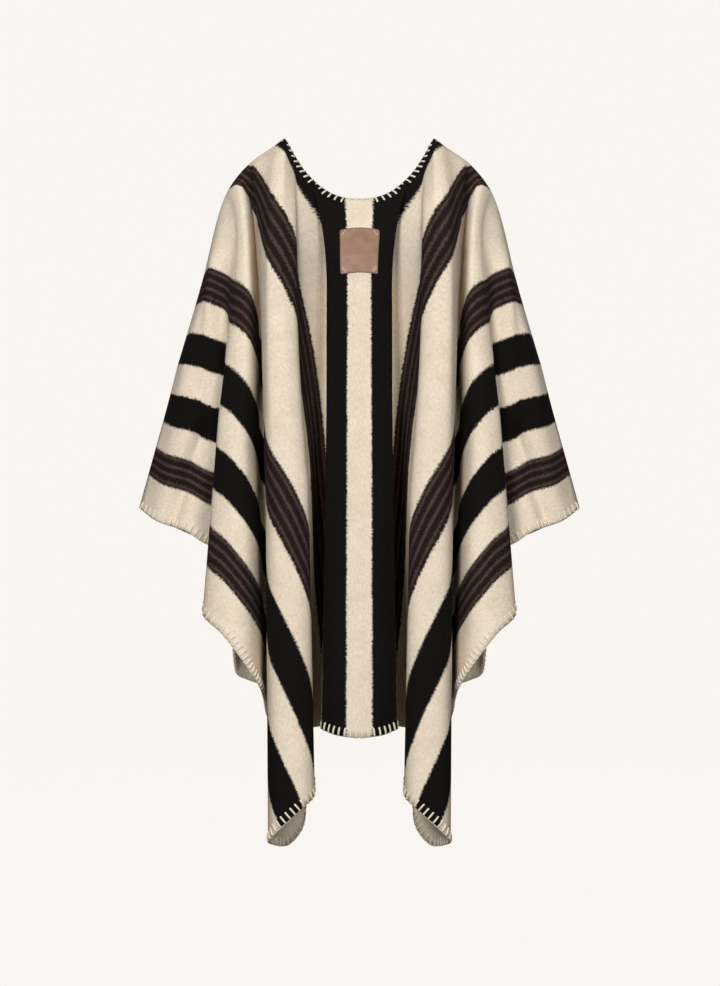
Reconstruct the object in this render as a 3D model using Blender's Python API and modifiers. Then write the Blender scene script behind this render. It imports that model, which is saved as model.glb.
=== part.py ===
"""A blanket cape: one rectangle of wool with a neck slot, hung on the shoulders in folds.

The cloth is worked out the way it hangs.  Straight lines are drawn on the flat blanket, each
from the neck slot or the shoulder line to the outer edge.  Each line keeps its length, rolls
over the shoulder and then hangs, and the cloth is lofted from line to line.  The table below
has one row for each line, with the place where its lower end hangs.  Lengths are in
centimetres up to the last step, which turns them into metres.

Frame: +X the wearer's right, +Y the wearer's front, +Z up.  The origin is the point midway
between the two neck points, on the line where the cape rests on the shoulders.
"""

import bmesh
import bpy
import numpy as np
from mathutils import Vector

CM = 0.01

# ---- sizes of the flat blanket, in centimetres -------------------------------------------
HALF_WIDTH = 70.0        # centre line to the side edge
HALF_LENGTH = 100.0      # shoulder line to the hem
CORNER_RADIUS = 6.0      # rounded corners of the blanket
SLOT_HALF_WIDTH = 5.05   # the neck slot, which also opens the front
SLOT_DEPTH = 14.5        # how far the slot reaches behind the shoulder line
CLOTH = 0.30             # thickness of the brushed wool

# ---- sizes of the worn neck and shoulders, in centimetres ----------------------------------
NECK_HALF_WIDTH = 11.9   # the neck points, where the slot edge crosses the shoulders
NAPE_DROP = 10.2         # how far the middle of the neckline hangs below them
NAPE_BACK = 5.5          # how far it stands behind them
CREST = [
    # distance from the centre line on the flat, place out from the middle, height
    (5.05, 11.9, 0.0),
    (7.15, 13.7, -1.3),
    (12.1, 17.7, -4.2),
    (17.3, 20.9, -8.3),
    (21.05, 22.4, -12.2),
    (30.4, 24.8, -22.0),
    (50.0, 30.1, -40.3),
    (70.0, 35.1, -59.0),
]

# ---- leather patch on the middle of the back, in centimetres -------------------------------
PATCH_WIDTH = 6.9
PATCH_HEIGHT = 7.5
PATCH_DROP = 6.8         # neckline to the top edge of the patch
PATCH_THICKNESS = 0.22
PATCH_GAP = 0.10         # clear space under the patch, over the flat facets of the cloth
PATCH_CELLS = 12

# ---- how the lines roll over the shoulder ------------------------------------------------
ROLL = 2.3               # length of the roll for each centimetre it carries the cloth out
SWAY = 1.1               # how much longer the sideways part of the roll takes
BOW_END = 0.55           # share of the line over which it bows
RIDGE = 0.5              # how far the shoulder line is rounded out, front and back
RIDGE_LENGTH = 1.8       # how quickly the rounding starts below the shoulder line
RIDGE_START = 3.0        # it starts this far before the neck point
RIDGE_END = 24.0         # it has gone this far out along the arm
RIDGE_FADE = 8.0         # length over which it goes

# ---- how finely the cloth is divided --------------------------------------------------------
COLUMNS_PER_ROW = 2
STEPS_DOWN = 14
STEP_BIAS = 1.5          # more than 1 puts more of the steps near the shoulder

# Rows of the drape.  rim: distance along the slot edge and shoulder line, 0 at the neck point,
# less than 0 towards the nape, more than 0 out along the arm.  edge: distance along the outer
# edge, from the middle of the hem out to the corner and up the side.  roll_x, roll_y: place
# the line rolls to below the shoulder.  low_x, low_y, low_z: place of its lower end.  bow:
# how far the line swings sideways in the upper half of its fall.
BACK = [
    # name         rim   edge  roll_x roll_y  low_x  low_y  low_z   bow
    ("centre",    -17.4,   0.0,  0.0, -12.2,   0.0, -16.0,  -94.4,  0.0),
    ("strip",     -14.0,   3.6,  2.5, -12.1,   3.3, -15.6,  -94.0,  0.0),
    ("strip_rim", -11.5,   6.0,  3.5, -11.9,   5.0, -14.3,  -93.5,  0.0),
    ("strip_edge", -9.5,   7.5,  4.2, -11.6,   5.8, -13.0,  -93.2,  0.0),
    ("gap_in",     -8.5,   9.8,  4.8, -11.0,   5.1,  -9.5,  -93.0,  0.1),
    ("gap_wall",   -7.5,  14.5,  4.6,  -9.6,   5.2,  -2.6,  -93.2,  0.0),
    ("gap_floor",  -6.2,  18.0,  4.5,  -7.6,   5.6,   1.2,  -93.8, -0.2),
    ("gap_far",    -5.0,  22.5,  5.2,  -7.6,   8.4,  -0.6,  -94.3,  0.0),
    ("gap_out",    -3.8,  34.5,  8.5, -10.0,   8.8, -10.2,  -95.5,  1.0),
    ("fold2_in",   -2.5,  46.0,  9.2, -11.0,   7.0, -17.5, -102.6,  1.3),
    ("fold2_a",     0.0,  50.2, 11.4, -11.0,   8.6, -20.2, -104.6,  1.2),
    ("fold2_b",     1.0,  55.4, 13.4, -10.8,  12.2, -20.4, -107.8,  0.8),
    ("fold2_out",   1.9,  58.8, 14.5, -10.3,  13.8, -18.0, -109.8,  0.3),
    ("fold2_wall",  3.0,  63.5, 15.3,  -9.6,  13.6, -13.0, -111.0,  0.3),
    ("corner",      4.4,  70.0, 16.2,  -7.8,  11.6,  -8.2, -111.9,  0.3),
    ("under",       5.6,  76.0, 16.8,  -4.9,   8.8,  -5.6, -108.7,  0.2),
    ("under_turn",  6.9,  84.5, 17.1,  -2.2,   9.4,  -2.6, -101.0,  0.0),
    ("dip",         8.4,  96.0, 17.7,  -1.4,  14.1,  -3.4,  -92.9, -0.5),
    ("dip_out",     9.4, 103.0, 17.8,  -2.0,  14.8,  -8.2,  -89.1, -0.8),
    ("fold1_in",   10.3, 108.5, 18.2,  -3.2,  15.3, -12.8,  -86.8, -0.8),
    ("fold1_a",    11.3, 115.0, 18.6,  -4.2,  17.4, -16.4,  -83.0, -0.8),
    ("fold1_b",    12.4, 122.0, 18.9,  -3.8,  21.2, -16.0,  -78.2, -0.5),
    ("fold1_out",  13.4, 127.0, 19.2,  -3.4,  24.2, -12.6,  -75.1, -0.5),
    ("bend_in",    14.7, 135.5, 20.4,  -3.6,  20.4,  -6.2,  -71.0,  0.3),
    ("bend",       16.5, 145.0, 22.2,  -4.0,  16.9,  -1.9,  -67.0,  0.9),
    ("sleeve_in",  19.5, 154.5, 23.4,  -4.4,  23.8,  -4.2,  -64.8,  0.3),
    ("sleeve_a",   24.0, 159.5, 24.4,  -3.2,  27.6,  -5.8,  -62.4,  0.0),
    ("sleeve_b",   31.0, 165.0, 26.3,  -2.4,  31.7,  -4.6,  -61.2,  0.0),
    ("arm",        41.0, 170.0, 28.9,   0.0,  35.1,   0.0,  -59.0,  0.0),
]
FRONT = [
    # name         rim   edge  roll_x roll_y  low_x  low_y  low_z   bow
    ("opening",     0.0,   5.05, 11.2,  9.6,   9.2,  13.4,  -98.2,  0.0),
    ("face_a",      1.0,  12.0, 12.6,  10.0,  12.6,  15.2,  -99.2,  0.0),
    ("face_b",      1.9,  19.0, 13.6,   9.8,  14.4,  11.8,  -99.4,  0.0),
    ("slit_in",     3.0,  27.0, 14.5,   9.2,  12.2,   7.2,  -99.4,  0.0),
    ("slit",        4.4,  36.0, 15.3,   8.8,   9.4,   6.2, -100.6,  0.0),
    ("slit_out",    5.6,  44.0, 15.9,   9.0,   9.0,  11.0, -103.0,  0.0),
    ("point_a",     6.9,  52.0, 16.6,   9.4,  10.4,  15.8, -106.0,  0.0),
    ("point_b",     8.4,  60.0, 17.5,   9.4,  13.6,  14.6, -108.6,  0.0),
    ("corner",      9.4,  70.0, 18.2,   8.8,  12.6,   8.8, -109.6,  0.0),
    ("turn",       10.3,  80.0, 18.8,   8.2,  11.4,   4.6, -102.0,  0.0),
    ("dip",        11.3,  89.0, 19.3,   7.6,  14.2,   3.6,  -95.0,  0.0),
    ("side_in",    12.4,  97.0, 19.8,   7.2,  15.6,   8.4,  -88.0,  0.0),
    ("side_a",     13.4, 104.0, 20.3,   6.9,  17.8,  12.2,  -87.4,  0.0),
    ("side_b",     14.7, 112.0, 21.0,   6.4,  20.0,  10.6,  -86.2,  0.0),
    ("side_out",   16.5, 122.0, 21.8,   5.8,  20.3,   6.6,  -79.5,  0.0),
    ("fall",       19.5, 141.0, 22.9,   5.2,  18.8,   2.6,  -68.6,  0.0),
    ("cuff_a",     24.0, 152.0, 24.4,   3.8,  24.8,   4.2,  -64.4,  0.0),
    ("cuff_b",     31.0, 162.0, 26.3,   2.4,  31.0,   4.8,  -61.5,  0.0),
    ("arm",        41.0, 170.0, 28.9,   0.0,  35.1,   0.0,  -59.0,  0.0),
]


def blend(knots, values, places):
    """Cubic curve through a column of the table, with no overshoot between its rows."""
    knots = np.asarray(knots, float)
    values = np.asarray(values, float)
    steps = np.diff(knots)
    slopes = np.diff(values) / steps
    tangents = np.empty(len(values))
    tangents[0] = slopes[0]
    tangents[-1] = slopes[-1]
    for i in range(1, len(values) - 1):
        a, b = slopes[i - 1], slopes[i]
        tangents[i] = 0.0 if a * b <= 0 else 2 * a * b / (a + b)
    k = np.clip(np.searchsorted(knots, places, side="right") - 1, 0, len(steps) - 1)
    t = (places - knots[k]) / steps[k]
    h = steps[k]
    return (values[k] * (1 + 2 * t) * (1 - t) ** 2 + h * tangents[k] * t * (1 - t) ** 2
            + values[k + 1] * t * t * (3 - 2 * t) + h * tangents[k + 1] * t * t * (t - 1))


def bend(values, places):
    """Round curve through a column of the table, for places that swing from row to row."""
    values = np.asarray(values, float)
    before = 2 * values[0] - values[1]
    after = 2 * values[-1] - values[-2]
    v = np.concatenate(([before], values, [after]))
    k = np.clip(np.floor(places).astype(int), 0, len(values) - 2)
    t = places - k
    a, b, c, d = v[k], v[k + 1], v[k + 2], v[k + 3]
    return 0.5 * (2 * b + (c - a) * t + (2 * a - 5 * b + 4 * c - d) * t ** 2
                  + (3 * b - a - 3 * c + d) * t ** 3)


def rim_on_flat(rim, side):
    """Place on the flat blanket of a distance along the slot edge and shoulder line."""
    straight = SLOT_DEPTH - SLOT_HALF_WIDTH
    along = np.maximum(-rim, 0.0)
    angle = np.clip((along - straight) / SLOT_HALF_WIDTH, 0.0, np.pi / 2)
    u = np.where(rim > 0, SLOT_HALF_WIDTH + rim, SLOT_HALF_WIDTH * np.cos(angle))
    v = np.where(along < straight, along, straight + SLOT_HALF_WIDTH * np.sin(angle))
    return u, v * side


def edge_on_flat(edge, side):
    """Place on the flat blanket of a distance along the hem and up the side."""
    u = np.minimum(edge, HALF_WIDTH)
    v = HALF_LENGTH - np.maximum(edge - HALF_WIDTH, 0.0)
    inner_u = HALF_WIDTH - CORNER_RADIUS
    inner_v = HALF_LENGTH - CORNER_RADIUS
    du = u - inner_u
    dv = v - inner_v
    reach = np.hypot(du, dv)
    inside = (du > 0) & (dv > 0)
    pull = np.where(inside, CORNER_RADIUS / np.maximum(reach, 1e-6), 1.0)
    u = np.where(inside, inner_u + du * pull, u)
    v = np.where(inside, inner_v + dv * pull, v)
    return u, v * side


def rim_worn(rim):
    """Place in the worn cape of a distance along the slot edge and shoulder line."""
    t = np.linspace(0.0, 1.0, 400)
    x = NECK_HALF_WIDTH * t
    y = -NAPE_BACK * (1 - t ** 2)
    z = -NAPE_DROP * (1 - t ** 2.4)
    run = np.concatenate(([0.0], np.cumsum(np.sqrt(np.diff(x) ** 2 + np.diff(y) ** 2 + np.diff(z) ** 2))))
    total = SLOT_DEPTH - SLOT_HALF_WIDTH + SLOT_HALF_WIDTH * np.pi / 2
    share = np.clip(1 + np.minimum(rim, 0.0) / total, 0.0, 1.0)
    run = run / run[-1]
    crest = np.array(CREST)
    out = SLOT_HALF_WIDTH + np.maximum(rim, 0.0)
    px = np.where(rim > 0, blend(crest[:, 0], crest[:, 1], out), np.interp(share, run, x))
    py = np.where(rim > 0, 0.0, np.interp(share, run, y))
    pz = np.where(rim > 0, blend(crest[:, 0], crest[:, 2], out), np.interp(share, run, z))
    return px, py, pz


def drape(rows, side, per_row, steps):
    """Worn places and flat places of a grid of points, a column for each hanging line."""
    table = np.array([row[1:] for row in rows], float)
    count = (len(rows) - 1) * per_row + 1
    places = np.linspace(0.0, len(rows) - 1.0, count)
    knots = np.arange(len(rows))
    rim = np.interp(places, knots, table[:, 0])
    edge = blend(knots, table[:, 1], places)
    roll_x, roll_y, low_x, low_y, bow = [bend(table[:, c], places) for c in (2, 3, 4, 5, 7)]
    low_z = blend(knots, table[:, 6], places)
    su, sv = rim_on_flat(rim, side)
    eu, ev = edge_on_flat(edge, side)
    sx, sy, sz = rim_worn(rim)
    length = np.hypot(eu - su, ev - sv)
    reach = np.hypot(roll_x - sx, roll_y - sy)
    roll_length = np.maximum(ROLL * reach, 8.0)
    on_shoulder = np.clip(1 + rim / RIDGE_START, 0.0, 1.0)
    on_shoulder = on_shoulder * np.clip((RIDGE_END - rim) / RIDGE_FADE, 0.0, 1.0)
    ridge_share = RIDGE * on_shoulder * np.clip(roll_y / 4.0, -1.0, 1.0)
    f = np.linspace(0.0, 1.0, steps + 1) ** STEP_BIAS
    fine = np.linspace(0.0, 1.0, 241)
    grid = np.zeros((count, steps + 1, 5))
    for i in range(count):
        w = fine * length[i]
        turn = np.sin(np.pi / 2 * np.minimum(w / roll_length[i], 1.0))
        sway = np.sin(np.pi / 2 * np.minimum(w / (SWAY * roll_length[i]), 1.0))
        swing = np.sin(np.pi * np.minimum(fine / BOW_END, 1.0))
        x = sx[i] + (roll_x[i] - sx[i]) * sway + (low_x[i] - roll_x[i]) * fine + bow[i] * swing
        ridge = ridge_share[i] * (1 - np.exp(-w / RIDGE_LENGTH))
        y = sy[i] + (roll_y[i] - sy[i]) * turn + (low_y[i] - roll_y[i]) * fine + ridge
        run = np.diff(x) ** 2 + np.diff(y) ** 2
        fall = np.sqrt(np.maximum(np.diff(w) ** 2 - run, (0.15 * np.diff(w)) ** 2))
        z = -np.concatenate(([0.0], np.cumsum(fall)))
        z = sz[i] + z * (low_z[i] - sz[i]) / z[-1]
        for c, line in enumerate((x, y, z)):
            grid[i, :, c] = np.interp(f, fine, line)
        grid[i, :, 3] = su[i] + (eu[i] - su[i]) * f
        grid[i, :, 4] = sv[i] + (ev[i] - sv[i]) * f
    return grid


def worn_at(grid, u, v):
    """Worn place of one flat point, read along the grid's own columns and across them."""
    across = []
    places = []
    for column in grid:
        across.append(np.interp(v, column[:, 4], column[:, 3]))
        places.append([np.interp(v, column[:, 4], column[:, c]) for c in range(3)])
    places = np.array(places)
    return np.array([np.interp(u, across, places[:, c]) for c in range(3)])


def patch_points(grid):
    """Grid of points for the leather patch, taken from the cloth and moved out from it."""
    rows = []
    top = SLOT_DEPTH + PATCH_DROP
    for j in range(PATCH_CELLS + 1):
        row = []
        for i in range(PATCH_CELLS + 1):
            s = i / PATCH_CELLS
            t = j / PATCH_CELLS
            u = (s - 0.5) * PATCH_WIDTH + 0.05 * np.sin(5.0 * t + 1.0)
            v = top + t * PATCH_HEIGHT + 0.05 * np.sin(4.0 * s)
            place = worn_at(grid, abs(u), v)
            right = worn_at(grid, abs(u) + 0.1, v)
            below = worn_at(grid, abs(u), v + 0.1)
            facing = np.cross(right - place, below - place)
            facing = -facing / np.linalg.norm(facing)
            if facing[1] > 0:
                facing = -facing
            place = place + facing * (CLOTH / 2 + PATCH_GAP)
            place[0] = place[0] if u >= 0 else -place[0]
            row.append(place)
        rows.append(row)
    return np.array(rows)


# ---- Blender ----


def clear_scene():
    for old in list(bpy.data.objects):
        bpy.data.objects.remove(old, do_unlink=True)


def material(name, colour, roughness):
    made = bpy.data.materials.new(name)
    made.use_nodes = True
    shader = made.node_tree.nodes["Principled BSDF"]
    shader.inputs["Base Color"].default_value = (*colour, 1.0)
    shader.inputs["Roughness"].default_value = roughness
    made.diffuse_color = (*colour, 1.0)
    return made


def add_grid(bm, points):
    """Faces over a grid of places in centimetres."""
    verts = [[bm.verts.new([c * CM for c in place]) for place in line] for line in points]
    for a, b in zip(verts, verts[1:]):
        for k in range(len(a) - 1):
            bm.faces.new((a[k], a[k + 1], b[k + 1], b[k]))


def sheet_object(name, grids, outward, finish, thickness, offset, home):
    """One open sheet from one or more grids, given its wall by a Solidify modifier."""
    bm = bmesh.new()
    for points in grids:
        add_grid(bm, points)
    bmesh.ops.remove_doubles(bm, verts=bm.verts[:], dist=0.00002)
    bmesh.ops.recalc_face_normals(bm, faces=bm.faces[:])
    first = max(bm.faces, key=lambda face: face.calc_center_median().dot(outward))
    if first.normal.dot(outward) < 0:
        bmesh.ops.reverse_faces(bm, faces=bm.faces[:])
    mesh = bpy.data.meshes.new(name)
    bm.to_mesh(mesh)
    bm.free()
    mesh.materials.append(finish)
    made = bpy.data.objects.new(name, mesh)
    home.objects.link(made)
    wall = made.modifiers.new("wall", "SOLIDIFY")
    wall.thickness = thickness * CM
    wall.offset = offset
    wall.use_even_offset = True
    wall.use_quality_normals = True
    return made


def build():
    clear_scene()
    home = bpy.data.collections.new("blanket_cape")
    bpy.context.scene.collection.children.link(home)
    wool = material("wool_blanket", (0.62, 0.54, 0.44), 0.95)
    leather = material("patch_leather", (0.34, 0.17, 0.12), 0.6)

    back = drape(BACK, 1, COLUMNS_PER_ROW, STEPS_DOWN)
    front = drape(FRONT, -1, COLUMNS_PER_ROW, STEPS_DOWN)
    grids = []
    for grid in (back, front):
        for side in (1, -1):
            points = grid[:, :, :3].copy()
            points[:, :, 0] = points[:, :, 0] * side
            grids.append(points)
    behind = Vector((0.0, -1.0, 0.0))
    sheet_object("cape_body", grids, behind, wool, CLOTH, 0.0, home)
    sheet_object("leather_patch", [patch_points(back)], behind, leather, PATCH_THICKNESS, 1.0, home)


build()
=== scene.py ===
# %% [markdown]
# # A blanket cape, hung and photographed
# The real cape is one striped wool blanket with a slot cut in it for the neck and the front.
# Nothing is tailored: every fold comes from how the flat cloth hangs from the shoulders.
# So this lesson works as the maker does.  It keeps a flat cloth with its stripes, its edge
# stitches and its leather patch, and hangs all of them with one and the same rule.

import bmesh
import bpy
import numpy as np
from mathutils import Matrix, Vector, noise
from mathutils.bvhtree import BVHTree
from mathutils.geometry import barycentric_transform


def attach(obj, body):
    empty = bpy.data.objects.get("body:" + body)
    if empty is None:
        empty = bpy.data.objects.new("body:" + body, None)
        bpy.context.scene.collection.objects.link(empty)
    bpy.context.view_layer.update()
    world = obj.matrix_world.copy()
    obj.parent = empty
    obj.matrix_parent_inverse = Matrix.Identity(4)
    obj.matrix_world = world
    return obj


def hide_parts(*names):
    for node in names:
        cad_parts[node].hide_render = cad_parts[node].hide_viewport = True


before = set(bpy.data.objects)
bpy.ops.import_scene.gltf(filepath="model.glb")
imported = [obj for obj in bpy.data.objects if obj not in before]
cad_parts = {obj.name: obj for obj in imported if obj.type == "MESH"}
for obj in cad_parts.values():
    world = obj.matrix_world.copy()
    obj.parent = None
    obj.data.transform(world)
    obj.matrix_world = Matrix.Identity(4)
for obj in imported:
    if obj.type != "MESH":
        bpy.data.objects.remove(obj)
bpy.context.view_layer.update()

CM = 0.01
scene = bpy.context.scene

# %% [markdown]
# ## The camera
# The picture shows the back of the cape, level with the middle of the cape and far
# enough away that near and far folds keep almost the same size.  A long lens does that.  The
# lens follows from how much of the scene the picture is tall, so it needs no trial and error.

# %% Place the camera
PICTURE_HEIGHT = 1.5776
CAMERA_DISTANCE = 4.5
CAMERA_LEVEL = -0.566
camera = bpy.data.cameras.new("studio_camera")
camera.sensor_fit = "VERTICAL"
camera.sensor_height = 36.0
camera.lens = camera.sensor_height * CAMERA_DISTANCE / PICTURE_HEIGHT
viewer = bpy.data.objects.new("studio_camera", camera)
viewer.location = (0.001, -CAMERA_DISTANCE, CAMERA_LEVEL)
viewer.rotation_euler = (np.pi / 2, 0.0, 0.0)
scene.collection.objects.link(viewer)
scene.camera = viewer
print("lens", round(camera.lens, 1), "mm")

# %% [markdown]
# ## The flat blanket
# A blanket is easiest to describe flat.  A place on it is two distances: u, from the centre
# line out to the side edge, and v, from the shoulder line down to the hem.  The stripes are
# bands of u alone, so they will follow every fold by themselves once the cloth hangs.

# %% Sizes of the flat blanket, in centimetres
HALF_WIDTH = 70.0
HALF_LENGTH = 100.0
CORNER_RADIUS = 6.0
SLOT_HALF_WIDTH = 5.05
SLOT_DEPTH = 14.5
CLOTH = 0.30
print("blanket", 2 * HALF_WIDTH, "by", 2 * HALF_LENGTH, "cm")

# %% [markdown]
# ## How the cloth hangs
# Each row of the two tables is one straight line drawn on the flat blanket, from the neck
# slot or the shoulder line to the outer edge.  The line rolls over the shoulder and then
# falls to the place that its row names, within about 8 per cent of its flat length.  The
# lines between two rows follow smooth curves through the table.  Neighbouring rows that
# stand near and far make the folds.  All of it is in centimetres.

# %% Tables of the hanging lines
NECK_HALF_WIDTH = 11.9
NAPE_DROP = 10.2
NAPE_BACK = 5.5
NAPE_POWER = 2.4         # how round the nape's drop is
NAPE_POINTS = 400
NAPE_RIM = -17.4         # the middle of the nape, as a distance along the slot edge
CREST = [
    # distance from the centre line on the flat, place out from the middle, height
    (5.05, 11.9, 0.0),
    (7.15, 13.7, -1.3),
    (12.1, 17.7, -4.2),
    (17.3, 20.9, -8.3),
    (21.05, 22.4, -12.2),
    (30.4, 24.8, -22.0),
    (50.0, 30.1, -40.3),
    (70.0, 35.1, -59.0),
]
ROLL = 2.3               # length of the roll over the shoulder, as a share of its reach
SHORTEST_ROLL = 8.0
SWAY = 1.1               # the sideways part of the roll is this much longer
BOW_END = 0.55           # part of a line that bows sideways
RIDGE = 0.5              # how far the rounded shoulder stands out
RIDGE_LENGTH = 1.8       # how quickly it starts below the shoulder line
RIDGE_START = 3.0        # it grows over this much of the slot edge
RIDGE_END = 24.0         # and is gone this far out along the shoulder
RIDGE_FADE = 8.0
RIDGE_FULL_ROLL = 4.0    # a line that rolls this far has the whole ridge
LEAST_FALL = 0.15        # part of every step that goes down
FINE_STEPS = 240         # steps in which a line's fall is added up
BUNCHING = 1.15          # points stand closer together near the shoulder
BACK = [
    # name         rim   edge  roll_x roll_y  low_x  low_y  low_z   bow
    ("centre",    -17.4,   0.0,  0.0, -12.2,   0.0, -16.0,  -94.4,  0.0),
    ("strip",     -14.0,   3.6,  2.5, -12.1,   3.3, -15.6,  -94.0,  0.0),
    ("strip_rim", -11.5,   6.0,  3.5, -11.9,   5.0, -14.3,  -93.5,  0.0),
    ("strip_edge", -9.5,   7.5,  4.2, -11.6,   5.8, -13.0,  -93.2,  0.0),
    ("gap_in",     -8.5,   9.8,  4.8, -11.0,   5.1,  -9.5,  -93.0,  0.1),
    ("gap_wall",   -7.5,  14.5,  4.6,  -9.6,   5.2,  -2.6,  -93.2,  0.0),
    ("gap_floor",  -6.2,  18.0,  4.5,  -7.6,   5.6,   1.2,  -93.8, -0.2),
    ("gap_far",    -5.0,  22.5,  5.2,  -7.6,   8.4,  -0.6,  -94.3,  0.0),
    ("gap_out",    -3.8,  34.5,  8.5, -10.0,   8.8, -10.2,  -95.5,  1.0),
    ("fold2_in",   -2.5,  46.0,  9.2, -11.0,   7.0, -17.5, -102.6,  1.3),
    ("fold2_a",     0.0,  50.2, 11.4, -11.0,   8.6, -20.2, -104.6,  1.2),
    ("fold2_b",     1.0,  55.4, 13.4, -10.8,  12.2, -20.4, -107.8,  0.8),
    ("fold2_out",   1.9,  58.8, 14.5, -10.3,  13.8, -18.0, -109.8,  0.3),
    ("fold2_wall",  3.0,  63.5, 15.3,  -9.6,  13.6, -13.0, -111.0,  0.3),
    ("corner",      4.4,  70.0, 16.2,  -7.8,  11.6,  -8.2, -111.9,  0.3),
    ("under",       5.6,  76.0, 16.8,  -4.9,   8.8,  -5.6, -108.7,  0.2),
    ("under_turn",  6.9,  84.5, 17.1,  -2.2,   9.4,  -2.6, -101.0,  0.0),
    ("dip",         8.4,  96.0, 17.7,  -1.4,  14.1,  -3.4,  -92.9, -0.5),
    ("dip_out",     9.4, 103.0, 17.8,  -2.0,  14.8,  -8.2,  -89.1, -0.8),
    ("fold1_in",   10.3, 108.5, 18.2,  -3.2,  15.3, -12.8,  -86.8, -0.8),
    ("fold1_a",    11.3, 115.0, 18.6,  -4.2,  17.4, -16.4,  -83.0, -0.8),
    ("fold1_b",    12.4, 122.0, 18.9,  -3.8,  21.2, -16.0,  -78.2, -0.5),
    ("fold1_out",  13.4, 127.0, 19.2,  -3.4,  24.2, -12.6,  -75.1, -0.5),
    ("bend_in",    14.7, 135.5, 20.4,  -3.6,  20.4,  -6.2,  -71.0,  0.3),
    ("bend",       16.5, 145.0, 22.2,  -4.0,  16.9,  -1.9,  -67.0,  0.9),
    ("sleeve_in",  19.5, 154.5, 23.4,  -4.4,  23.8,  -4.2,  -64.8,  0.3),
    ("sleeve_a",   24.0, 159.5, 24.4,  -3.2,  27.6,  -5.8,  -62.4,  0.0),
    ("sleeve_b",   31.0, 165.0, 26.3,  -2.4,  31.7,  -4.6,  -61.2,  0.0),
    ("arm",        41.0, 170.0, 28.9,   0.0,  35.1,   0.0,  -59.0,  0.0),
]
FRONT = [
    # name         rim   edge  roll_x roll_y  low_x  low_y  low_z   bow
    ("opening",     0.0,   5.05, 11.2,  9.6,   9.2,  13.4,  -98.2,  0.0),
    ("face_a",      1.0,  12.0, 12.6,  10.0,  12.6,  15.2,  -99.2,  0.0),
    ("face_b",      1.9,  19.0, 13.6,   9.8,  14.4,  11.8,  -99.4,  0.0),
    ("slit_in",     3.0,  27.0, 14.5,   9.2,  12.2,   7.2,  -99.4,  0.0),
    ("slit",        4.4,  36.0, 15.3,   8.8,   9.4,   6.2, -100.6,  0.0),
    ("slit_out",    5.6,  44.0, 15.9,   9.0,   9.0,  11.0, -103.0,  0.0),
    ("point_a",     6.9,  52.0, 16.6,   9.4,  10.4,  15.8, -106.0,  0.0),
    ("point_b",     8.4,  60.0, 17.5,   9.4,  13.6,  14.6, -108.6,  0.0),
    ("corner",      9.4,  70.0, 18.2,   8.8,  12.6,   8.8, -109.6,  0.0),
    ("turn",       10.3,  80.0, 18.8,   8.2,  11.4,   4.6, -102.0,  0.0),
    ("dip",        11.3,  89.0, 19.3,   7.6,  14.2,   3.6,  -95.0,  0.0),
    ("side_in",    12.4,  97.0, 19.8,   7.2,  15.6,   8.4,  -88.0,  0.0),
    ("side_a",     13.4, 104.0, 20.3,   6.9,  17.8,  12.2,  -87.4,  0.0),
    ("side_b",     14.7, 112.0, 21.0,   6.4,  20.0,  10.6,  -86.2,  0.0),
    ("side_out",   16.5, 122.0, 21.8,   5.8,  20.3,   6.6,  -79.5,  0.0),
    ("fall",       19.5, 141.0, 22.9,   5.2,  18.8,   2.6,  -68.6,  0.0),
    ("cuff_a",     24.0, 152.0, 24.4,   3.8,  24.8,   4.2,  -64.4,  0.0),
    ("cuff_b",     31.0, 162.0, 26.3,   2.4,  31.0,   4.8,  -61.5,  0.0),
    ("arm",        41.0, 170.0, 28.9,   0.0,  35.1,   0.0,  -59.0,  0.0),
]
print(len(BACK), "lines behind and", len(FRONT), "in front, on each side")

# %% Smooth curves through a column of a table


def blend(knots, values, places):
    """Cubic curve through a column, with no overshoot between its rows."""
    knots = np.asarray(knots, float)
    values = np.asarray(values, float)
    steps = np.diff(knots)
    slopes = np.diff(values) / steps
    tangents = np.empty(len(values))
    tangents[0] = slopes[0]
    tangents[-1] = slopes[-1]
    for i in range(1, len(values) - 1):
        a, b = slopes[i - 1], slopes[i]
        tangents[i] = 0.0 if a * b <= 0 else 2 * a * b / (a + b)
    k = np.clip(np.searchsorted(knots, places, side="right") - 1, 0, len(steps) - 1)
    t = (places - knots[k]) / steps[k]
    h = steps[k]
    return (values[k] * (1 + 2 * t) * (1 - t) ** 2 + h * tangents[k] * t * (1 - t) ** 2
            + values[k + 1] * t * t * (3 - 2 * t) + h * tangents[k + 1] * t * t * (t - 1))


def bend(values, places):
    """Round curve through a column that swings from row to row."""
    values = np.asarray(values, float)
    before = 2 * values[0] - values[1]
    after = 2 * values[-1] - values[-2]
    v = np.concatenate(([before], values, [after]))
    k = np.clip(np.floor(places).astype(int), 0, len(values) - 2)
    t = places - k
    a, b, c, d = v[k], v[k + 1], v[k + 2], v[k + 3]
    return 0.5 * (2 * b + (c - a) * t + (2 * a - 5 * b + 4 * c - d) * t ** 2
                  + (3 * b - a - 3 * c + d) * t ** 3)


print("halfway between 1 and 3:", bend([0, 1, 3, 4], np.array([1.5]))[0])

# %% Ends of the lines on the flat cloth


def rim_on_flat(rim, side):
    """Flat place of a distance along the slot edge and the shoulder line."""
    straight = SLOT_DEPTH - SLOT_HALF_WIDTH
    along = np.maximum(-rim, 0.0)
    angle = np.clip((along - straight) / SLOT_HALF_WIDTH, 0.0, np.pi / 2)
    u = np.where(rim > 0, SLOT_HALF_WIDTH + rim, SLOT_HALF_WIDTH * np.cos(angle))
    v = np.where(along < straight, along, straight + SLOT_HALF_WIDTH * np.sin(angle))
    return u, v * side


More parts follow.
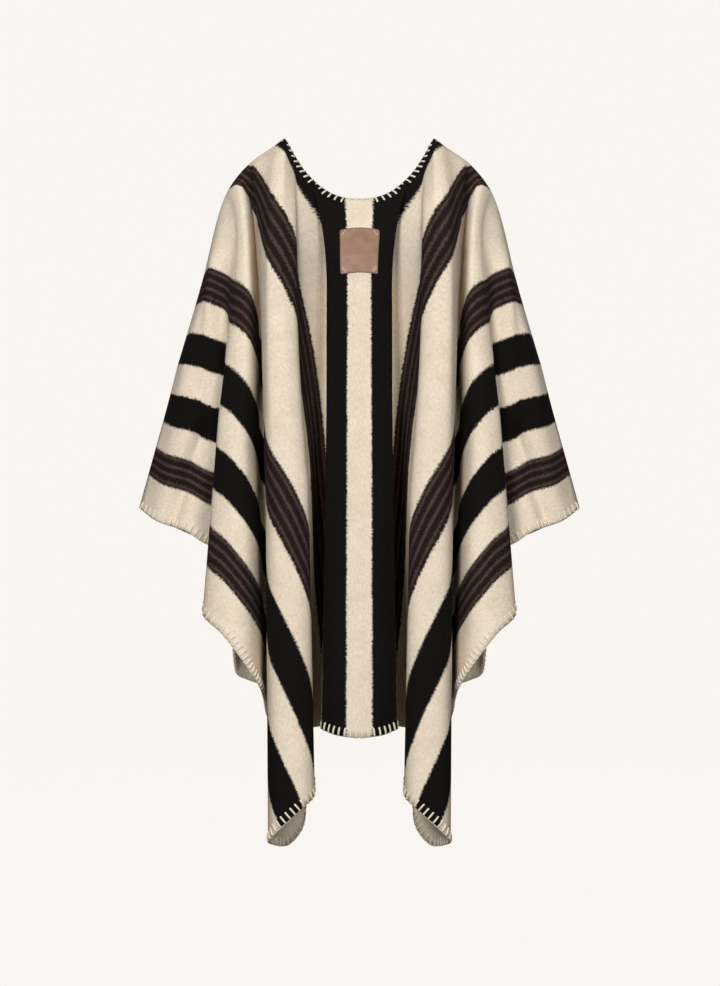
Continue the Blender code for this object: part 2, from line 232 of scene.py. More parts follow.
def edge_on_flat(edge, side):
    """Flat place of a distance along the hem, round the corner and up the side."""
    u = np.minimum(edge, HALF_WIDTH)
    v = HALF_LENGTH - np.maximum(edge - HALF_WIDTH, 0.0)
    inner_u = HALF_WIDTH - CORNER_RADIUS
    inner_v = HALF_LENGTH - CORNER_RADIUS
    reach = np.hypot(u - inner_u, v - inner_v)
    inside = (u > inner_u) & (v > inner_v)
    pull = np.where(inside, CORNER_RADIUS / np.maximum(reach, 1e-6), 1.0)
    u = np.where(inside, inner_u + (u - inner_u) * pull, u)
    v = np.where(inside, inner_v + (v - inner_v) * pull, v)
    return u, v * side


def rim_worn(rim):
    """Worn place of a distance along the slot edge and the shoulder line."""
    t = np.linspace(0.0, 1.0, NAPE_POINTS)
    x = NECK_HALF_WIDTH * t
    y = -NAPE_BACK * (1 - t ** 2)
    z = -NAPE_DROP * (1 - t ** NAPE_POWER)
    pieces = np.sqrt(np.diff(x) ** 2 + np.diff(y) ** 2 + np.diff(z) ** 2)
    run = np.concatenate(([0.0], np.cumsum(pieces)))
    run = run / run[-1]
    total = SLOT_DEPTH - SLOT_HALF_WIDTH + SLOT_HALF_WIDTH * np.pi / 2
    share = np.clip(1 + np.minimum(rim, 0.0) / total, 0.0, 1.0)
    crest = np.array(CREST)
    out = SLOT_HALF_WIDTH + np.maximum(rim, 0.0)
    px = np.where(rim > 0, blend(crest[:, 0], crest[:, 1], out), np.interp(share, run, x))
    py = np.where(rim > 0, 0.0, np.interp(share, run, y))
    pz = np.where(rim > 0, blend(crest[:, 0], crest[:, 2], out), np.interp(share, run, z))
    return px, py, pz


print("neck point at", [float(c) for c in rim_worn(np.array([0.0]))[0]], "cm out")

# %% Hang one quarter of the cloth


def drape(rows, side, per_row, steps):
    """Worn and flat places of a grid of points, one column for each hanging line."""
    table = np.array([row[1:] for row in rows], float)
    count = (len(rows) - 1) * per_row + 1
    places = np.linspace(0.0, len(rows) - 1.0, count)
    knots = np.arange(len(rows))
    rim = np.interp(places, knots, table[:, 0])
    edge = blend(knots, table[:, 1], places)
    roll_x, roll_y, low_x, low_y, bow = [bend(table[:, c], places) for c in (2, 3, 4, 5, 7)]
    low_z = blend(knots, table[:, 6], places)
    su, sv = rim_on_flat(rim, side)
    eu, ev = edge_on_flat(edge, side)
    sx, sy, sz = rim_worn(rim)
    length = np.hypot(eu - su, ev - sv)
    reach = np.hypot(roll_x - sx, roll_y - sy)
    roll_length = np.maximum(ROLL * reach, SHORTEST_ROLL)
    grown = np.clip(1 + rim / RIDGE_START, 0.0, 1.0)
    fading = np.clip((RIDGE_END - rim) / RIDGE_FADE, 0.0, 1.0)
    on_shoulder = grown * fading
    ridge_share = RIDGE * on_shoulder * np.clip(roll_y / RIDGE_FULL_ROLL, -1.0, 1.0)
    down = np.linspace(0.0, 1.0, steps + 1) ** BUNCHING
    fine = np.linspace(0.0, 1.0, FINE_STEPS + 1)
    grid = np.zeros((count, steps + 1, 5))
    for i in range(count):
        w = fine * length[i]
        turn = np.sin(np.pi / 2 * np.minimum(w / roll_length[i], 1.0))
        sway = np.sin(np.pi / 2 * np.minimum(w / (SWAY * roll_length[i]), 1.0))
        swing = np.sin(np.pi * np.minimum(fine / BOW_END, 1.0))
        x = sx[i] + (roll_x[i] - sx[i]) * sway + (low_x[i] - roll_x[i]) * fine + bow[i] * swing
        ridge = ridge_share[i] * (1 - np.exp(-w / RIDGE_LENGTH))
        y = sy[i] + (roll_y[i] - sy[i]) * turn + (low_y[i] - roll_y[i]) * fine + ridge
        run = np.diff(x) ** 2 + np.diff(y) ** 2
        fall = np.sqrt(np.maximum(np.diff(w) ** 2 - run, (LEAST_FALL * np.diff(w)) ** 2))
        z = -np.concatenate(([0.0], np.cumsum(fall)))
        z = sz[i] + z * (low_z[i] - sz[i]) / z[-1]
        for c, line in enumerate((x, y, z)):
            grid[i, :, c] = np.interp(down, fine, line)
        grid[i, :, 3] = su[i] + (eu[i] - su[i]) * down
        grid[i, :, 4] = sv[i] + (ev[i] - sv[i]) * down
    return grid


LINES_PER_ROW = 5
STEPS_DOWN = 84
behind = drape(BACK, 1, LINES_PER_ROW, STEPS_DOWN)
before = drape(FRONT, -1, LINES_PER_ROW, STEPS_DOWN)
print("grids", behind.shape, before.shape)

# %% [markdown]
# ## The cloth as a mesh
# A grid from Blender's own operator gives the faces of each quarter.  Its points are then
# moved to their hanging places.  The flat place of each point is kept in a UV map called
# cut, in metres, so that the finish can be painted as if the blanket still lay flat.
#
# The back of each sleeve has one soft trough that is too small for the tables.  It is
# pressed in once the cloth hangs, along a line that is again given on the flat cloth.

# %% Build the cloth
WELD = 0.00002           # quarters that meet are joined within this distance, in metres


def add_quarter(bm, grid, mirror):
    """One quarter of the blanket as a grid of faces, hung in its place."""
    count, steps = grid.shape[0], grid.shape[1]
    made = bmesh.ops.create_grid(bm, x_segments=count - 1, y_segments=steps - 1, size=1.0)
    flat_u = bm.verts.layers.float["flat_u"]
    flat_v = bm.verts.layers.float["flat_v"]
    for vert in made["verts"]:
        i = round((vert.co.x + 1) / 2 * (count - 1))
        k = round((vert.co.y + 1) / 2 * (steps - 1))
        x, y, z, u, v = grid[i, k]
        vert[flat_u] = u * mirror * CM
        vert[flat_v] = v * CM
        vert.co = Vector((x * mirror, y, z)) * CM


def hung_cloth():
    """The whole blanket as one open sheet whose faces look outwards."""
    bm = bmesh.new()
    bm.verts.layers.float.new("flat_u")
    bm.verts.layers.float.new("flat_v")
    for grid in (behind, before):
        for mirror in (1, -1):
            add_quarter(bm, grid, mirror)
    bmesh.ops.remove_doubles(bm, verts=bm.verts[:], dist=WELD)
    bmesh.ops.recalc_face_normals(bm, faces=bm.faces[:])
    last = min(bm.faces, key=lambda face: face.calc_center_median().y)
    if last.normal.y > 0:
        bmesh.ops.reverse_faces(bm, faces=bm.faces[:])
    return bm


def flat_map(bm):
    """Writes the flat place of every point into the UV map called cut."""
    cut = bm.loops.layers.uv.new("cut")
    flat_u = bm.verts.layers.float["flat_u"]
    flat_v = bm.verts.layers.float["flat_v"]
    for face in bm.faces:
        for loop in face.loops:
            loop[cut].uv = (loop.vert[flat_u], loop.vert[flat_v])


SOFT_FOLDS = [
    # start and end on the flat cloth, half width and depth, in centimetres
    (54.5, 8.9, 70.0, 7.2, 1.9, 1.8),
]
LEAST_PRESS = 0.005      # points that would move less than this stay, in centimetres


def press_folds(bm):
    """Presses the soft troughs of the sleeves into the hung cloth, the same on both sides."""
    bm.normal_update()
    flat_u = bm.verts.layers.float["flat_u"]
    flat_v = bm.verts.layers.float["flat_v"]
    verts = bm.verts[:]
    flat = np.array([(abs(vert[flat_u]), vert[flat_v]) for vert in verts]) / CM
    press = np.zeros(len(verts))
    for u0, v0, u1, v1, wide, deep in SOFT_FOLDS:
        way = np.array((u1 - u0, v1 - v0))
        along = np.clip((flat - (u0, v0)) @ way / (way @ way), 0.0, 1.0)
        far = np.linalg.norm(flat - (u0, v0) - along[:, None] * way, axis=1)
        press += deep * np.exp(-((far / wide) ** 2))
    for vert, depth in zip(verts, press):
        if depth > LEAST_PRESS:
            vert.co -= vert.normal * float(depth) * CM


cloth_bm = hung_cloth()
press_folds(cloth_bm)
flat_map(cloth_bm)
print("cloth", len(cloth_bm.verts), "points,", len(cloth_bm.faces), "faces")

# %% [markdown]
# ## From the flat cloth to the worn cloth
# Stitches and the patch are placed on the flat cloth, as a maker sews them.  To hang them,
# the same mesh is laid out flat once more.  A search tree finds the flat triangle under a
# place, and the same spot of the worn triangle is where the cloth carries it.

# %% Look up worn places


def flat_and_worn(bm):
    """Search tree over the flat triangles, with the worn corners of each one."""
    flat_u = bm.verts.layers.float["flat_u"]
    flat_v = bm.verts.layers.float["flat_v"]
    flats, worns, normals, faces = [], [], [], []
    for a, b, c in bm.calc_loop_triangles():
        corners = [loop.vert for loop in (a, b, c)]
        faces.append([len(flats), len(flats) + 1, len(flats) + 2])
        flats.extend(Vector((vert[flat_u], vert[flat_v], 0.0)) for vert in corners)
        worns.extend(vert.co.copy() for vert in corners)
        normals.extend(vert.normal.copy() for vert in corners)
    return BVHTree.FromPolygons(flats, faces), flats, worns, normals


def worn_place(u, v, lift):
    """Place of a flat point on the worn cloth, moved out from its middle by lift."""
    spot, _, index, _ = flat_tree.find_nearest(Vector((u, v, 0.0)))
    corners = slice(3 * index, 3 * index + 3)
    base = barycentric_transform(spot, *flat_points[corners], *worn_points[corners])
    facing = barycentric_transform(spot, *flat_points[corners], *worn_normals[corners])
    return base + facing.normalized() * lift


cloth_bm.normal_update()
flat_tree, flat_points, worn_points, worn_normals = flat_and_worn(cloth_bm)
print("middle of the hem hangs at", [round(c, 3) for c in worn_place(0.0, 1.0, 0.0)])

# %% Finish the cloth object
cloth_mesh = bpy.data.meshes.new("wool_cloth")
cloth_bm.to_mesh(cloth_mesh)
cloth_mesh.shade_smooth()
cloth = bpy.data.objects.new("wool_cloth", cloth_mesh)
scene.collection.objects.link(cloth)
wall = cloth.modifiers.new("wall", "SOLIDIFY")
wall.thickness = CLOTH * CM
wall.offset = 0.0
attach(cloth, "root")
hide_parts("cape_body")
print("cloth area", round(sum(face.calc_area() for face in cloth_bm.faces), 3), "m2")

# %% [markdown]
# ## The stitched edge
# The edge is worked all round in blanket stitch with thick cream yarn.  A bar of yarn goes
# over the edge about every centimetre and a strand runs along the edge from bar to bar.
# Each bar is a short curve: in through the face, out round the edge and back inside.

# %% Walk round the edge of the flat cloth
STITCH_STEP = 0.0101
STITCH_LENGTH = 0.0122
YARN = 0.0016            # half the thickness of a bar
STRAND = 0.0009          # half the thickness of the strand
EDGE_LENGTH = HALF_WIDTH + HALF_LENGTH
LOOK = 0.0005            # how far ahead and back a direction is taken on the flat cloth
LOOK_ALONG = 0.002       # the same on the worn cloth, along the edge
LOOK_IN = 0.006          # and in from it


def edge_path():
    """Flat places all round the cut edge of one half, from the nape round to the hem."""
    rims = np.linspace(NAPE_RIM, 0.0, 300)
    edges = np.linspace(0.0, EDGE_LENGTH, 3000)
    runs = []
    nape_u, nape_v = rim_on_flat(rims, 1)
    runs.append(np.stack([nape_u, nape_v], axis=1))
    opening = np.linspace(0.0, -HALF_LENGTH, 1500)[1:]
    runs.append(np.stack([np.full(len(opening), SLOT_HALF_WIDTH), opening], axis=1))
    low_u, low_v = edge_on_flat(edges[edges > SLOT_HALF_WIDTH], -1)
    runs.append(np.stack([low_u, low_v], axis=1))
    hem_u, hem_v = edge_on_flat(edges[::-1], 1)
    runs.append(np.stack([hem_u, hem_v], axis=1)[1:])
    return np.concatenate(runs) * CM


def even_places(path, step):
    """Points at even steps along the path, each with its direction."""
    pieces = np.linalg.norm(np.diff(path, axis=0), axis=1)
    run = np.concatenate(([0.0], np.cumsum(pieces)))
    count = int(round(run[-1] / step))
    at = (np.arange(count) + 0.5) * run[-1] / count
    here = np.stack([np.interp(at, run, path[:, c]) for c in (0, 1)], axis=1)
    ahead = np.stack([np.interp(at + LOOK, run, path[:, c]) for c in (0, 1)], axis=1)
    back = np.stack([np.interp(at - LOOK, run, path[:, c]) for c in (0, 1)], axis=1)
    way = ahead - back
    way /= np.linalg.norm(way, axis=1)[:, None]
    return here, way


half_edge = edge_path()
edge_spots, edge_ways = even_places(half_edge, STITCH_STEP)
print(2 * len(edge_spots), "stitches")

# %% Sew the bars


def add_strand(curve, places):
    """One smooth run of yarn through the given places."""
    line = curve.splines.new("POLY")
    line.points.add(len(places) - 1)
    for point, place in zip(line.points, places):
        point.co = (*place, 1.0)


def yarn_object(name, curve, radius):
    """Turns curves into a tube mesh at the origin."""
    curve.dimensions = "3D"
    curve.bevel_depth = radius
    curve.bevel_resolution = 1
    curve.use_fill_caps = True
    holder = bpy.data.objects.new(name + "_curve", curve)
    scene.collection.objects.link(holder)
    bpy.context.view_layer.update()
    ready = holder.evaluated_get(bpy.context.evaluated_depsgraph_get())
    mesh = bpy.data.meshes.new_from_object(ready)
    bpy.data.objects.remove(holder)
    mesh.name = name
    mesh.shade_smooth()
    made = bpy.data.objects.new(name, mesh)
    scene.collection.objects.link(made)
    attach(made, "root")
    return made


HALF_CLOTH = CLOTH * CM / 2
BAR = [
    # part of the stitch's length in from the edge, height over the middle of the cloth
    (1.00, 0.1),
    (0.88, 1.0),
    (0.55, 1.3),
    (0.15, 1.2),
    (0.00, 0.7),
    (0.00, -0.7),
    (0.15, -1.2),
    (0.55, -1.3),
    (0.88, -1.0),
    (1.00, -0.1),
]


def edge_frame(u, v, du, dv, mirror):
    """Place of the worn edge, the way in along the cloth and the way out of its face."""
    here = worn_place(u * mirror, v, 0.0)
    face = worn_place(u * mirror, v, 1.0) - here
    ahead = worn_place((u + du * LOOK_ALONG) * mirror, v + dv * LOOK_ALONG, 0.0)
    back = worn_place((u - du * LOOK_ALONG) * mirror, v - dv * LOOK_ALONG, 0.0)
    inside = worn_place((u - dv * LOOK_IN) * mirror, v + du * LOOK_IN, 0.0)
    along = (ahead - back).normalized()
    inward = inside - here
    inward = (inward - along * inward.dot(along)).normalized()
    return here, inward, face


bars = bpy.data.curves.new("stitch_bars", "CURVE")
for (u, v), (du, dv) in zip(edge_spots, edge_ways):
    for mirror in (1, -1):
        here, inward, face = edge_frame(u, v, du, dv, mirror)
        places = []
        for share, height in BAR:
            places.append(here + inward * share * STITCH_LENGTH + face * height * HALF_CLOTH)
        add_strand(bars, places)
stitches = yarn_object("edge_stitches", bars, YARN)
print("stitch faces", len(stitches.data.polygons))

# %% Run the strand along the edge
strand = bpy.data.curves.new("edge_strand", "CURVE")
STRAND_STEP = 0.0048
STRAND_OUT = 0.0004      # how far outside the cut edge it runs
STRAND_UNDER = 0.6       # how far below the middle, as a share of half the cloth
strand_spots, strand_ways = even_places(half_edge, STRAND_STEP)
for mirror in (1, -1):
    places = []
    for (u, v), (du, dv) in zip(strand_spots, strand_ways):
        here, inward, face = edge_frame(u, v, du, dv, mirror)
        places.append(here - inward * STRAND_OUT - face * STRAND_UNDER * HALF_CLOTH)
    add_strand(strand, places)
edge_yarn = yarn_object("edge_yarn", strand, STRAND)
print("strand", 2 * len(strand_spots), "points")

# %% [markdown]
# ## The leather patch
# A plain piece of brown leather sits on the middle of the back.  It starts as a flat grid
# in blanket places, with edges that wave a little as hand-cut leather does, and the
# look-up bends it with the cloth.  Three short tacks of thread hold each corner.

# %% Cut the patch and lay it on the back
PATCH_WIDTH = 0.069
PATCH_HEIGHT = 0.075
PATCH_TOP = 0.213
PATCH_THICKNESS = 0.0022
PATCH_LIFT = 0.0022
PATCH_CELLS = 40
HAND_CUT = 0.0005        # how far the cut edges wave
CORNER_PULL = 0.03       # how far a corner is rounded in, as a share of the patch
CORNER_POWER = 12        # and how close to the corner that stays
UNEVEN = 0.0002          # how far the leather rises and falls
UNEVEN_SCALE = 3
SOFT_EDGE = 0.0004


def patch_spot(s, t):
    """Flat blanket place of a spot on the patch, with s and t from 0 to 1."""
    u = (s - 0.5) * PATCH_WIDTH + HAND_CUT * np.sin(5.0 * t + 1.0)
    v = PATCH_TOP + t * PATCH_HEIGHT + HAND_CUT * np.sin(4.0 * s)
    return u, v


patch_bm = bmesh.new()
bmesh.ops.create_grid(patch_bm, x_segments=PATCH_CELLS, y_segments=PATCH_CELLS, size=1.0)
cut = patch_bm.loops.layers.uv.new("cut")
for face in patch_bm.faces:
    for loop in face.loops:
        x, y = loop.vert.co.x, loop.vert.co.y
        loop[cut].uv = ((x + 1) / 2, (y + 1) / 2)
for vert in patch_bm.verts:
    s, t = (vert.co.x + 1) / 2, (vert.co.y + 1) / 2
    rounding = CORNER_PULL * (2 * abs(s - 0.5)) ** CORNER_POWER
    rounding *= (2 * abs(t - 0.5)) ** CORNER_POWER
    s, t = s + (0.5 - s) * rounding, t + (0.5 - t) * rounding
    u, v = patch_spot(s, t)
    grain_place = Vector((s * UNEVEN_SCALE, t * UNEVEN_SCALE, 2.0))
    lift = PATCH_LIFT + UNEVEN * noise.noise(grain_place)
    vert.co = worn_place(u, v, lift)
bmesh.ops.recalc_face_normals(patch_bm, faces=patch_bm.faces[:])
if sum(face.normal.y for face in patch_bm.faces) > 0:
    bmesh.ops.reverse_faces(patch_bm, faces=patch_bm.faces[:])
patch_mesh = bpy.data.meshes.new("leather_square")
patch_bm.to_mesh(patch_mesh)
patch_bm.free()
patch_mesh.shade_smooth()
patch = bpy.data.objects.new("leather_square", patch_mesh)
scene.collection.objects.link(patch)
hide = patch.modifiers.new("hide", "SOLIDIFY")
hide.thickness = PATCH_THICKNESS
hide.offset = 1.0
soft_edge = patch.modifiers.new("soft_edge", "BEVEL")
soft_edge.width = SOFT_EDGE
soft_edge.segments = 2
soft_edge.limit_method = "ANGLE"
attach(patch, "root")
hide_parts("leather_patch")
print("patch", len(patch_mesh.polygons), "faces")

# %% Tack its corners
TACKS = [
    # part of the width in from the corner, part of the height, slant
    (0.055, 0.13, 0.010),
    (0.095, 0.10, 0.012),
    (0.135, 0.06, 0.014),
]
TACK_HEIGHT = 0.055      # as a share of the patch's height
TACK_THREAD = 0.0004     # half the thickness of the thread
TACK_RISE = 0.0005
TACK_SUNK = 0.7          # height at which the thread lies level with the leather
TACK_ARCH = [
    # part of the tack's length, height
    (0, 0.4),
    (0.15, 1.0),
    (0.5, 1.2),
    (0.85, 1.0),
    (1, 0.4),
]
tacks = bpy.data.curves.new("patch_tacks", "CURVE")
for left in (0, 1):
    for top in (0, 1):
        for across, down, slant in TACKS:
            places = []
            for share, height in TACK_ARCH:
                s = across + slant * (share - 0.5)
                t = down + TACK_HEIGHT * (share - 0.5)
                s = s if left else 1 - s
                t = t if top else 1 - t
                u, v = patch_spot(s, t)
                lift = PATCH_LIFT + PATCH_THICKNESS + TACK_RISE * (height - TACK_SUNK)
                places.append(worn_place(u, v, lift))
            add_strand(tacks, places)
tack_thread = yarn_object("patch_tacks", tacks, TACK_THREAD)
print("tacks", len(tack_thread.data.polygons), "faces")

# %% [markdown]
# ## The striped wool
# The stripes are painted from the flat place of each point.  A stripe is all that lies
# within half its width of its middle line, so one small group of nodes makes every stripe.
# Brushing drags fibres over the border, so noise pushes the flat place about a little
# before the stripes are read.  A fine noise also gives the nap its light and dark fibres.

# %% Helpers for the finishes


def new_finish(name):
    """A material with its shader, tree and a short way to add nodes."""
    made = bpy.data.materials.new(name)
    made.use_nodes = True
    tree = made.node_tree
    return made, tree, tree.nodes["Principled BSDF"]


def maths(tree, what, a, b=None, c=None):
    """One Math node; each input is a number or another node's output."""
    node = tree.nodes.new("ShaderNodeMath")
    node.operation = what
    for socket, value in zip(node.inputs, (a, b, c)):
        if value is None:
            continue
        if isinstance(value, (int, float)):
            socket.default_value = value
        else:
            tree.links.new(value, socket)
    return node.outputs[0]


def noise_of(tree, where, scale, detail=2.0, rough=0.5):
    """Noise value between 0 and 1 at the given places."""
    node = tree.nodes.new("ShaderNodeTexNoise")
    node.inputs["Scale"].default_value = scale
    node.inputs["Detail"].default_value = detail
    node.inputs["Roughness"].default_value = rough
    tree.links.new(where, node.inputs["Vector"])
    return node.outputs["Fac"]


def stretched(tree, where, scale):
    """The same places, stretched by a Mapping node."""
    node = tree.nodes.new("ShaderNodeMapping")
    node.inputs["Scale"].default_value = scale
    tree.links.new(where, node.inputs["Vector"])
    return node.outputs["Vector"]


def tint(tree, share, first, second):
    """Mixes two colours, each an output or three numbers."""
    node = tree.nodes.new("ShaderNodeMix")
    node.data_type = "RGBA"
    sockets = (node.inputs[0], node.inputs[6], node.inputs[7])
    for socket, value in zip(sockets, (share, first, second)):
        if isinstance(value, tuple):
            socket.default_value = (*value, 1.0)
        elif isinstance(value, (int, float)):
            socket.default_value = value
        else:
            tree.links.new(value, socket)
    return node.outputs[2]


def bump(tree, shader, height, strength, distance):
    """Turns a height into a bump on the shader."""
    node = tree.nodes.new("ShaderNodeBump")
    node.inputs["Strength"].default_value = strength
    node.inputs["Distance"].default_value = distance
    tree.links.new(height, node.inputs["Height"])
    tree.links.new(node.outputs["Normal"], shader.inputs["Normal"])


print("helpers ready")

# %% Stripes of the blanket
STRIPES = [
    # middle, width and kind, in centimetres from the centre line
    (4.65, 5.0, "black"),
    (14.7, 5.2, "brown"),
    (33.0, 5.2, "brown"),
    (42.9, 5.0, "black"),
    (52.7, 5.0, "black"),
    (61.9, 4.8, "brown"),
]
LINES = [
    # place of a thin line across a brown stripe, width, in centimetres
    (-1.95, 0.28),
    (-0.72, 0.36),
    (0.55, 0.36),
    (1.82, 0.28),
]
BORDER = 0.14            # half the soft border of a stripe
LINE_BORDER = 0.20       # and of a thin line
FIBRE_STRETCH = (1.0, 2.4, 1.0)
FIBRE_SCALE = 210.0
FIBRE_PUSH = 0.015       # how far single fibres carry a colour, in metres
DRIFT_SCALE = 18.0
DRIFT_PUSH = 0.0024      # how far a whole border wanders


def stripe(tree, place, middle, width, border):
    """1 inside a stripe, 0 outside, with a soft border."""
    far = maths(tree, "ABSOLUTE", maths(tree, "SUBTRACT", place, middle * CM))
    fade = tree.nodes.new("ShaderNodeMapRange")
    fade.interpolation_type = "SMOOTHSTEP"
    fade.inputs["From Min"].default_value = (width / 2 - border) * CM
    fade.inputs["From Max"].default_value = (width / 2 + border) * CM
    fade.inputs["To Min"].default_value = 1.0
    fade.inputs["To Max"].default_value = 0.0
    tree.links.new(far, fade.inputs["Value"])
    return fade.outputs["Result"]


wool, tree, shader = new_finish("brushed_striped_wool")
flat = tree.nodes.new("ShaderNodeUVMap")
flat.uv_map = "cut"
split = tree.nodes.new("ShaderNodeSeparateXYZ")
tree.links.new(flat.outputs["UV"], split.inputs[0])
out_from_middle = maths(tree, "ABSOLUTE", split.outputs["X"])
fibre_places = stretched(tree, flat.outputs["UV"], FIBRE_STRETCH)
fibres = noise_of(tree, fibre_places, FIBRE_SCALE, 4.0, 0.65)
drift = noise_of(tree, flat.outputs["UV"], DRIFT_SCALE)
either_way = maths(tree, "SUBTRACT", fibres, 0.5)
pushed = maths(tree, "MULTIPLY_ADD", either_way, FIBRE_PUSH, out_from_middle)
either_way = maths(tree, "SUBTRACT", drift, 0.5)
pushed = maths(tree, "MULTIPLY_ADD", either_way, DRIFT_PUSH, pushed)
black = None
brown = None
lines = None
for middle, width, kind in STRIPES:
    band = stripe(tree, pushed, middle, width, BORDER)
    if kind == "black":
        black = band if black is None else maths(tree, "MAXIMUM", black, band)
        continue
    brown = band if brown is None else maths(tree, "MAXIMUM", brown, band)
    for offset, thin in LINES:
        line = stripe(tree, pushed, middle + offset, thin, LINE_BORDER)
        lines = line if lines is None else maths(tree, "MAXIMUM", lines, line)
print(len(tree.nodes), "nodes for the stripes")

# %% Colours of the wool
CREAM = (0.88, 0.775, 0.635)
CREAM_DEEP = (0.54, 0.445, 0.335)
BLACK = (0.0030, 0.0026, 0.0022)
BLACK_FIBRE = (0.0110, 0.0092, 0.0080)
BROWN = (0.0170, 0.0100, 0.0088)
MAUVE = (0.080, 0.050, 0.044)
NAP_STRETCH = (1.0, 0.5, 1.0)
NAP_SCALE = 300.0
CLOUD_SCALE = 30.0
CLOUD_SHARE = 0.5        # how much of the shading is broad clouds
NAP_SHARE = 1.3          # and how much is the nap
NAP_START = -0.35
nap = noise_of(tree, stretched(tree, flat.outputs["UV"], NAP_STRETCH), NAP_SCALE, 4.0, 0.7)
cloudy = noise_of(tree, flat.outputs["UV"], CLOUD_SCALE, 3.0)
brushed = maths(tree, "MULTIPLY_ADD", nap, NAP_SHARE, NAP_START)
worn = maths(tree, "MULTIPLY_ADD", cloudy, CLOUD_SHARE, brushed)
ground = tint(tree, worn, CREAM_DEEP, CREAM)
dark = tint(tree, nap, BLACK, BLACK_FIBRE)
warm = tint(tree, lines, BROWN, MAUVE)
colour = tint(tree, brown, tint(tree, black, ground, dark), warm)
tree.links.new(colour, shader.inputs["Base Color"])
shader.inputs["Roughness"].default_value = 0.95
shader.inputs["Specular IOR Level"].default_value = 0.03
shader.inputs["Sheen Weight"].default_value = 0.01
shader.inputs["Sheen Roughness"].default_value = 0.6
felt = maths(tree, "ADD", nap, maths(tree, "MULTIPLY", fibres, 0.6))
bump(tree, shader, felt, 0.7, 0.0011)
cloth_mesh.materials.append(wool)
print("wool", len(tree.nodes), "nodes")

# %% Cream yarn
YARN_DEEP = (0.62, 0.54, 0.41)
YARN_PALE = (0.86, 0.79, 0.66)
TWIST_SCALE = 900.0
yarn, tree, shader = new_finish("cream_yarn")
place = tree.nodes.new("ShaderNodeTexCoord")
twist = noise_of(tree, place.outputs["Object"], TWIST_SCALE, 2.0)
tree.links.new(tint(tree, twist, YARN_DEEP, YARN_PALE), shader.inputs["Base Color"])
shader.inputs["Roughness"].default_value = 0.9
shader.inputs["Sheen Weight"].default_value = 0.1
bump(tree, shader, twist, 0.5, 0.0006)
for piece in (stitches, edge_yarn, tack_thread):
    piece.data.materials.append(yarn)
print("yarn", len(tree.nodes), "nodes")

# %% Brown leather
LEATHER_DEEP = (0.130, 0.066, 0.042)
LEATHER_PALE = (0.40, 0.230, 0.155)
LEATHER_EDGE = (0.20, 0.11, 0.08)
GRAIN_SCALE = 900.0
MOTTLE_SCALE = 60.0
RUB_START = 0.455        # from the middle of the patch, which is 1 wide
RUB_END = 0.495
leather, tree, shader = new_finish("plain_brown_leather")
place = tree.nodes.new("ShaderNodeTexCoord")
grain = tree.nodes.new("ShaderNodeTexVoronoi")
grain.feature = "DISTANCE_TO_EDGE"
grain.inputs["Scale"].default_value = GRAIN_SCALE
tree.links.new(place.outputs["Object"], grain.inputs["Vector"])
mottle = noise_of(tree, place.outputs["Object"], MOTTLE_SCALE, 4.0, 0.6)
flat = tree.nodes.new("ShaderNodeUVMap")
flat.uv_map = "cut"
split = tree.nodes.new("ShaderNodeSeparateXYZ")
tree.links.new(flat.outputs["UV"], split.inputs[0])
from_side = maths(tree, "ABSOLUTE", maths(tree, "SUBTRACT", split.outputs["X"], 0.5))
from_top = maths(tree, "ABSOLUTE", maths(tree, "SUBTRACT", split.outputs["Y"], 0.5))
rim = maths(tree, "MAXIMUM", from_side, from_top)
rubbed = tree.nodes.new("ShaderNodeMapRange")
rubbed.inputs["From Min"].default_value = RUB_START
rubbed.inputs["From Max"].default_value = RUB_END
tree.links.new(rim, rubbed.inputs["Value"])
face_tint = tint(tree, mottle, LEATHER_DEEP, LEATHER_PALE)
edge_tint = tint(tree, rubbed.outputs["Result"], face_tint, LEATHER_EDGE)
tree.links.new(edge_tint, shader.inputs["Base Color"])
shader.inputs["Roughness"].default_value = 0.55
shader.inputs["Specular IOR Level"].default_value = 0.4
pebbles = maths(tree, "MINIMUM", grain.outputs["Distance"], 0.3)
creases = maths(tree, "MULTIPLY_ADD", mottle, 0.5, pebbles)
bump(tree, shader, creases, 0.35, 0.0005)
patch_mesh.materials.append(leather)
print("leather", len(tree.nodes), "nodes")

# %% [markdown]
# ## The studio
# The picture has a plain pale ground and soft light from the camera's side.  One curved
# sheet makes the floor and the wall behind, so that no line shows between them.  A weaker
# light on the far side keeps the front of the cape from going black.

# %% Floor and light
FLOOR = -1.45
HALF_GROUND = 9.0
GROUND_START = -7.0      # behind the camera
SWEEP_START = 5.0
SWEEP_RADIUS = 1.5
SWEEP_STEPS = 12
WALL_TOP = 6.0
PAPER_GLOW = (0.947, 0.921, 0.879, 1.0)
ground_bm = bmesh.new()
first = [ground_bm.verts.new((x, GROUND_START, FLOOR)) for x in (-HALF_GROUND, HALF_GROUND)]
bar = ground_bm.edges.new(first)
for step in range(SWEEP_STEPS + 1):
    angle = step / SWEEP_STEPS * np.pi / 2
    y = SWEEP_START + SWEEP_RADIUS * np.sin(angle)
    z = FLOOR + SWEEP_RADIUS * (1 - np.cos(angle))
    new = bmesh.ops.extrude_edge_only(ground_bm, edges=[bar])["geom"]
    bar = next(item for item in new if isinstance(item, bmesh.types.BMEdge))
    for vert in bar.verts:
        vert.co = (vert.co.x, y, z)
new = bmesh.ops.extrude_edge_only(ground_bm, edges=[bar])["geom"]
for vert in [item for item in new if isinstance(item, bmesh.types.BMVert)]:
    vert.co.z = WALL_TOP
bmesh.ops.recalc_face_normals(ground_bm, faces=ground_bm.faces[:])
ground_mesh = bpy.data.meshes.new("pale_ground")
ground_bm.to_mesh(ground_mesh)
ground_bm.free()
ground_mesh.shade_smooth()
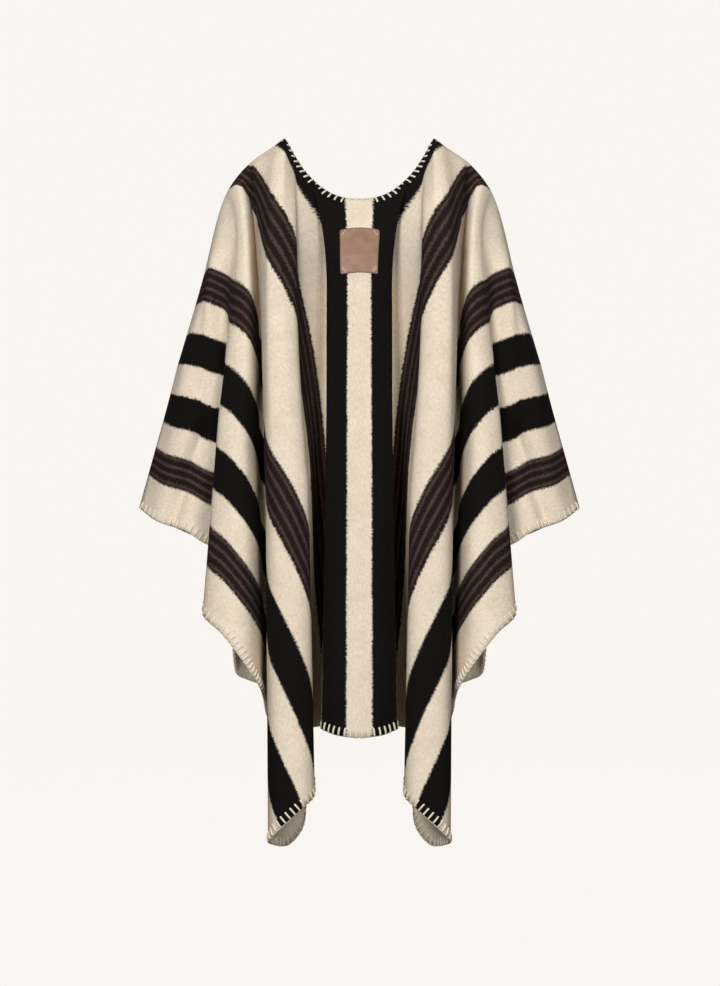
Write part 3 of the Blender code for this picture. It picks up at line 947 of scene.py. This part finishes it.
backdrop = bpy.data.objects.new("pale_ground", ground_mesh)
scene.collection.objects.link(backdrop)
paper, tree, shader = new_finish("pale_paper")
shader.inputs["Base Color"].default_value = (0.01, 0.01, 0.01, 1.0)
shader.inputs["Roughness"].default_value = 0.9
shader.inputs["Emission Color"].default_value = PAPER_GLOW
shader.inputs["Emission Strength"].default_value = 0.995
shader.inputs["Specular IOR Level"].default_value = 0.0
ground_mesh.materials.append(paper)
backdrop.visible_diffuse = False
backdrop.visible_glossy = False

LIGHTS = [
    # name, place, where it points, size, power
    ("key", (-1.2, -4.5, 0.9), (0.0, 0.0, -0.5), 1.1, 152.0),
    ("fill", (1.3, -4.5, 0.4), (0.0, 0.0, -0.6), 1.2, 84.0),
    ("far_side", (0.9, 4.2, 0.9), (0.0, 0.0, -0.5), 2.0, 45.0),
    ("top", (0.0, -0.6, 3.0), (0.0, 0.0, -0.4), 1.4, 30.0),
]


def soft_light(name, place, aim, size, power):
    """A large square light that points at a place."""
    data = bpy.data.lights.new(name, "AREA")
    data.shape = "SQUARE"
    data.size = size
    data.energy = power
    made = bpy.data.objects.new(name, data)
    made.location = place
    way = Vector(aim) - Vector(place)
    made.rotation_euler = way.to_track_quat("-Z", "Y").to_euler()
    scene.collection.objects.link(made)


for light in LIGHTS:
    soft_light(*light)
world = bpy.data.worlds.new("soft_room")
world.use_nodes = True
sky = world.node_tree.nodes["Background"]
sky.inputs["Color"].default_value = (1.0, 0.90, 0.74, 1.0)
sky.inputs["Strength"].default_value = 0.085
scene.world = world
scene.view_settings.view_transform = "Standard"

# %% [markdown]
# ## The slot's area, and finish
# The cloth's area leaves out the slot, whose area is worked out here in square metres; then
# the mesh that hung the cloth is let go.

# %% Slot area and finish
slot_area = 2 * SLOT_HALF_WIDTH * (HALF_LENGTH + SLOT_DEPTH - SLOT_HALF_WIDTH) * CM * CM
slot_area += np.pi * (SLOT_HALF_WIDTH * CM) ** 2 / 2
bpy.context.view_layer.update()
cloth_bm.free()
